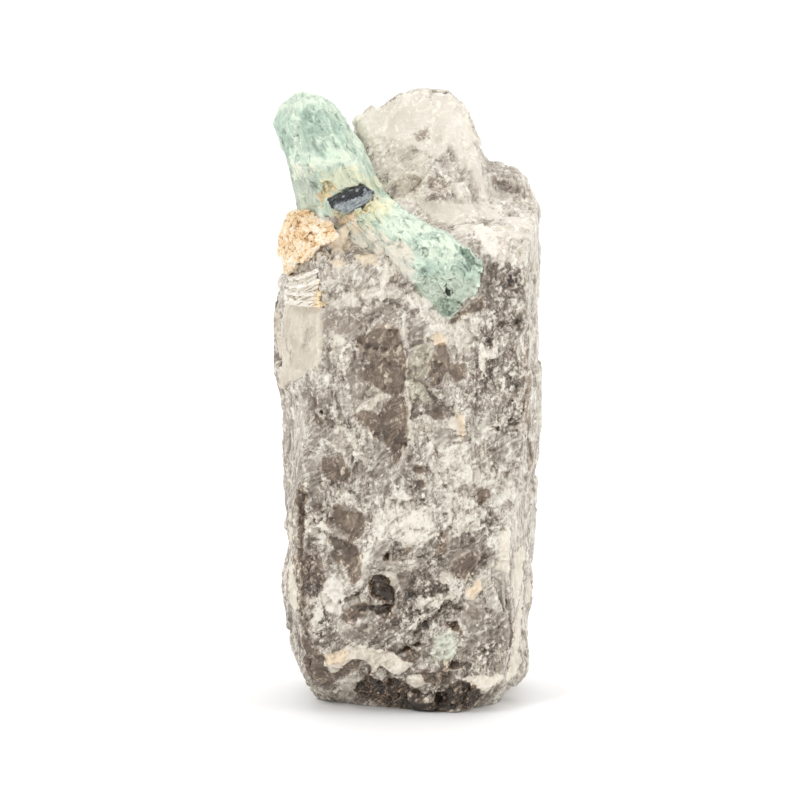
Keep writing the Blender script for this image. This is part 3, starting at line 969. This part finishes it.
def aquamarineSkin(name, turn, base):
    n = Nodes(name)
    long = n.stretched((1, 1, 2.0), turn)
    broad = n.cloud(5.5, 3, 0.6, warp=0.4)
    middle = n.cloud(1.8, 4, 0.6, warp=0.6, place=long)
    fine = n.cloud(0.5, 3, 0.65)
    lines = n.cloud(0.7, 3, 0.65, place=n.stretched((1, 1, 12), turn))
    waves = n.waves(0.9)
    wide = n.facets(3.0, n.pushed(n.waves(2.0), 1.8))
    small = n.facets(1.2, n.pushed(waves, 0.7, long))
    vary = n.addUp((broad, 0.55), (middle, 0.40), (wide, 0.16), (small, 0.12), (fine, 0.20), (lines, 0.22))
    ragged = n.addUp((middle, 1.8), (wide, 0.8), (small, 1.2))
    tone, tints = n.paintLooks(base, vary, ragged, aquamarineValues["looks"])
    bend = n.addUp((fine, 0.1), (n.attribute("bend"), 1.0))
    tone = n.addUp((tone, 1.0), (n.between(bend, 0.03, 0.15), aquamarineValues["ridges"]),
                   (n.between(bend, -0.05, -0.2), aquamarineValues["hollows"]))
    grain = n.cells(0.8, n.pushed(waves, 0.6, long), "Color")
    grain = n.addUp((grain, 1.0), (middle, 0.5))
    tone = n.addUp((n.between(grain, 0.86, 0.92), 0.12), (n.between(grain, 0.16, 0.12), -0.16), (tone, 1.0))
    n.setShader({
        "Base Color": n.tinted(n.ramp(tone, aquamarineValues["colours"]), tints),
        "Roughness": aquamarineValues["roughness"],
    })
    n.bump(n.addUp((fine, 0.4), (lines, 0.5), (wide, 0.8), (small, 0.7)), *aquamarineValues["bump"])
    n.glow(*aquamarineValues["glow"])
    return n.material


# the black bar at the foot of the upper prism
tourmalineValues = {
    "spacing": 0.14,
    "turn": (0, 1.13, 0),
    "ribs": (0.16, (0.5, 0.5, 7), 91),  # depth, size and seed of the lines along the bar
    "chips": (0.8, 0.12, 0.05, 92),
    "chipShape": (1, 1, 0.3),
    "least": -0.4,  # mm that the skin may sink, and rise
    "most": 0.3,
    "greyFacet": [(-15.2, 102.2), (-11.6, 102.8), (-8, 104.8), (-6.6, 103), (-11.6, 99.6), (-15.4, 99)],
    "tones": (0.66, 0.17),  # of the grey facet, and of the black rest
    "sharp": 30,
    "roughness": 0.3,
    "bump": (0.7, 0.15),
    "colours": [
        (0.0, (0.003, 0.004, 0.005)),
        (0.3, (0.022, 0.025, 0.03)),
        (0.6, (0.20, 0.23, 0.25)),
        (1.0, (0.62, 0.64, 0.63)),
    ],
}


def makeTourmaline():
    piece = remeshedCopy("black_tourmaline", "blackTourmaline", tourmalineValues["spacing"])
    points = readPoints(piece)
    normals = readNormals(piece)
    along = turnedInto(points, tourmalineValues["turn"])
    depth, size, seed = tourmalineValues["ribs"]
    relief = depth * noiseAt(along, size, seed, 2)
    relief = relief + chipsAt(along * np.array(tourmalineValues["chipShape"]), *tourmalineValues["chips"])
    relief = np.clip(relief, tourmalineValues["least"], tourmalineValues["most"])
    movePoints(piece, keepInside(points + normals * relief[:, None], "black_tourmaline"))
    storeOnPoints(piece, "low", insideOutline(seenFromFront(points), tourmalineValues["greyFacet"]))
    skin = tourmalineSkin()
    return finishPiece(piece, "black_tourmaline", skin, tourmalineValues["sharp"])


def tourmalineSkin():
    n = Nodes("tourmalineSkin")
    greyTone, blackTone = tourmalineValues["tones"]
    lines = n.cloud(0.45, 4, 0.7, place=n.stretched((1, 1, 9), tourmalineValues["turn"]))
    fine = n.cloud(0.35, 4, 0.7)
    grains = n.maths("SUBTRACT", n.cells(0.7, n.pushed(n.waves(0.5), 0.5), "Color"), 0.5)
    black = n.addUp((lines, 0.9), (fine, 0.6), (grains, 0.16))
    mask = n.between(n.addUp((n.attribute("low"), 1.0), (lines, 1.6), (fine, 1.6)), -0.25, 0.25)
    sparks = n.between(n.addUp((grains, 1.0), (fine, 0.5)), 0.30, 0.36)
    tone = n.blend(mask, n.addUp((black, 1.1), (blackTone, 1.0), (sparks, 0.35)),
                   n.addUp((black, 1.0), (greyTone, 1.0)))
    colour = n.ramp(tone, tourmalineValues["colours"])
    n.setShader({"Base Color": colour, "Roughness": tourmalineValues["roughness"]})
    n.bump(n.addUp((lines, 1.0), (fine, 0.5)), *tourmalineValues["bump"])
    return n.material


# the tan crust on the left shoulder
feldsparValues = {
    "spacing": 0.22,
    "soften": 2,
    "chips": [(2.1, 0.16, -0.05, 61), (0.9, 0.15, -0.25, 62)],
    "lumps": (0.25, 1.0, 63),
    "most": 0.6,
    "sharp": 40,
    "tone": 0.53,
    "ridges": 0.15,
    "hollows": -0.35,
    "roughness": 0.75,
    "bump": (0.8, 0.25),
    "glow": (0.15, (1.0, 0.6, 0.3), 0.8),
    "colours": [
        (0.0, (0.34, 0.19, 0.09)),
        (0.28, (0.74, 0.48, 0.25)),
        (0.5, (0.88, 0.68, 0.43)),
        (0.75, (0.93, 0.80, 0.62)),
        (1.0, (0.95, 0.92, 0.82)),
    ],
}


def makeFeldspar():
    piece = remeshedCopy("feldspar_patch", "feldsparCrust", feldsparValues["spacing"], feldsparValues["soften"])
    points = readPoints(piece)
    depth, size, seed = feldsparValues["lumps"]
    relief = sum(chipsAt(points, *layer) for layer in feldsparValues["chips"])
    relief = relief + depth * noiseAt(points, size, seed)
    relief = np.clip(relief, -feldsparValues["most"], feldsparValues["most"])
    points = keepInside(points + readNormals(piece) * relief[:, None], "feldspar_patch")
    movePoints(piece, points)
    storeOnPoints(piece, "bend", bendOf(piece, points, feldsparValues["spacing"]))
    return finishPiece(piece, "feldspar_patch", feldsparSkin(), feldsparValues["sharp"])


def feldsparSkin():
    n = Nodes("feldsparSkin")
    broad = n.cloud(3.5, 4, 0.6, warp=0.4)
    fine = n.cloud(0.5, 5, 0.75)
    grains = n.maths("SUBTRACT", n.cells(0.65, n.pushed(n.waves(0.6), 0.6), "Color"), 0.5)
    tone = n.addUp((feldsparValues["tone"], 1.0), (broad, 1.6), (grains, 0.35), (fine, 0.9))
    tone = n.addUp((tone, 1.0), (n.between(n.attribute("bend"), 0.0, 0.2), feldsparValues["ridges"]),
                   (n.between(n.attribute("bend"), -0.02, -0.22), feldsparValues["hollows"]))
    colour = n.ramp(tone, feldsparValues["colours"])
    n.setShader({"Base Color": colour, "Roughness": feldsparValues["roughness"]})
    n.bump(n.addUp((fine, 1.2), (n.cells(0.65), 0.6)), *feldsparValues["bump"])
    n.glow(*feldsparValues["glow"])
    return n.material


# the silvery plates under the crust
micaValues = {
    "spacing": 0.17,
    "soften": 1,
    "climb": 0.62,  # how steeply the plates climb to the right
    "waves": (0.3, 3.0, 51),  # depth, size and seed
    "plates": (0.28, 2.4, 4, 52),  # depth, how thin and how broad they are, seed
    "chips": (1.6, 0.09, 0.03, 53),
    "least": -0.5,  # mm that the skin may sink, and rise
    "most": 0.35,
    "goldFrom": (-20.5, -17.5),  # mm across where the gold stain starts and is full
    "goldHeight": 88,  # the height in mm where this holds
    "goldLean": 0.3,
    "goldTint": (1.0, 0.86, 0.64),
    "sharp": 25,
    "tone": 0.75,
    "ridges": 0.15,
    "hollows": -0.35,
    "roughness": 0.35,
    "bump": (0.6, 0.15),
    "colours": [
        (0.0, (0.09, 0.06, 0.035)),
        (0.35, (0.42, 0.34, 0.25)),
        (0.65, (0.73, 0.67, 0.57)),
        (1.0, (0.93, 0.90, 0.84)),
    ],
}


def makeMica():
    piece = remeshedCopy("mica_stack", "micaStack", micaValues["spacing"], micaValues["soften"])
    points = readPoints(piece)
    normals = readNormals(piece)
    depth, size, seed = micaValues["waves"]
    level = points[:, 2] - micaValues["climb"] * points[:, 0] + depth * noiseAt(points, size, seed)
    upright = 1 - np.abs(normals[:, 2])
    depth, thin, broad, seed = micaValues["plates"]
    plates = np.stack([level * thin, points[:, 0] / broad, points[:, 1] / broad], 1)
    relief = depth * upright * noiseAt(plates, 1.0, seed, 2)
    relief += chipsAt(points, *micaValues["chips"])
    relief = np.clip(relief, micaValues["least"], micaValues["most"])
    points = keepInside(points + normals * relief[:, None], "mica_stack")
    movePoints(piece, points)
    storeOnPoints(piece, "level", level)
    storeOnPoints(piece, "bend", bendOf(piece, points, micaValues["spacing"]))
    across = points[:, 0] - micaValues["goldLean"] * (points[:, 2] - micaValues["goldHeight"])
    storeOnPoints(piece, "golden", smoothStep(*micaValues["goldFrom"], across))
    return finishPiece(piece, "mica_stack", micaSkin(), micaValues["sharp"])


def micaSkin():
    n = Nodes("micaSkin")
    layered = n.add("ShaderNodeCombineXYZ")
    n.link(n.maths("MULTIPLY", n.attribute("level"), mm), layered.inputs[0])
    lines = n.cloud(0.35, 4, 0.7, place=layered.outputs[0])
    broad = n.cloud(3.0, 4, 0.6, warp=0.4)
    fine = n.cloud(0.5, 4, 0.7)
    tone = n.addUp((micaValues["tone"], 1.0), (lines, 1.0), (broad, 0.5), (fine, 0.6),
                   (n.between(n.attribute("bend"), 0.02, 0.2), micaValues["ridges"]),
                   (n.between(n.attribute("bend"), -0.02, -0.2), micaValues["hollows"]))
    silver = n.ramp(tone, micaValues["colours"])
    golden = n.between(n.addUp((n.attribute("golden"), 1.0), (broad, 1.2), (fine, 0.6)), 0.35, 0.7)
    gold = n.mix(golden, (1, 1, 1), micaValues["goldTint"])
    n.setShader({"Base Color": n.mix(1.0, silver, gold, "MULTIPLY"), "Roughness": micaValues["roughness"]})
    n.bump(n.addUp((lines, 1.0), (fine, 0.6)), *micaValues["bump"])
    return n.material


# floor, light and camera
stageValues = {
    "floorSize": 12,  # metres
    "floorColour": (0.93, 0.93, 0.93),
    "floorRoughness": 0.9,
    "roomLight": 0.85,
    "lampTarget": (0, 0, 0.06),
    "sensor": 36,  # mm
    "lens": 540,
    "farthest": 20,  # metres that the camera sees
    "lamps": {  # place in metres, watts, size
        "keyLamp": ((-0.5, -0.6, 0.75), 3.0, 0.3),
        "rightLamp": ((0.7, -0.25, 0.45), 1.6, 0.4),
        "overheadLamp": ((0.0, 0.9, 1.7), 14.0, 1.8),
    },
}


def addFloor():
    bpy.ops.mesh.primitive_plane_add(size=stageValues["floorSize"], location=(0, 0, 0))
    floor = bpy.context.active_object
    floor.name = "paleFloor"
    n = Nodes("paleFloorSkin")
    n.setShader({"Base Color": stageValues["floorColour"], "Roughness": stageValues["floorRoughness"]})
    floor.data.materials.append(n.material)
    print("the floor is laid")


def aim(thing, target):
    thing.rotation_mode = "QUATERNION"
    thing.rotation_quaternion = (Vector(target) - thing.location).to_track_quat("-Z", "Y")


def addLamps():
    for name, (place, watts, size) in stageValues["lamps"].items():
        bpy.ops.object.light_add(type="AREA", location=place)
        lamp = bpy.context.active_object
        lamp.name = name
        lamp.data.energy = watts
        lamp.data.size = size
        aim(lamp, stageValues["lampTarget"])
    world = bpy.data.worlds.new("whiteRoom")
    bpy.context.scene.world = world
    world.use_nodes = True
    background = world.node_tree.nodes["Background"]
    background.inputs["Color"].default_value = (1, 1, 1, 1)
    background.inputs["Strength"].default_value = stageValues["roomLight"]
    print(len(stageValues["lamps"]), "lamps and a white room are lit")


def addCamera():
    elevation = frontView["elevation"]
    back = Vector((0, -math.cos(elevation), math.sin(elevation)))
    up = Vector((0, math.sin(elevation), math.cos(elevation)))
    target = (Vector((frontView["across"], 0, 0)) + up * frontView["up"]) * mm
    bpy.ops.object.camera_add(location=target + back * frontView["distance"] * mm)
    camera = bpy.context.active_object
    aim(camera, target)
    camera.data.sensor_width = stageValues["sensor"]
    camera.data.lens = stageValues["lens"]
    camera.data.clip_end = stageValues["farthest"]
    bpy.context.scene.camera = camera
    bpy.context.scene.view_settings.view_transform = "Standard"
    print("the camera is set")


addFloor()
addLamps()
addCamera()
crystals = [
    makeTourmaline(),
    makeCrystal("upper_aquamarine"),
    makeCrystal("lower_aquamarine"),
    makeMica(),
    makeFeldspar(),
]
makeQuartz(crystals)
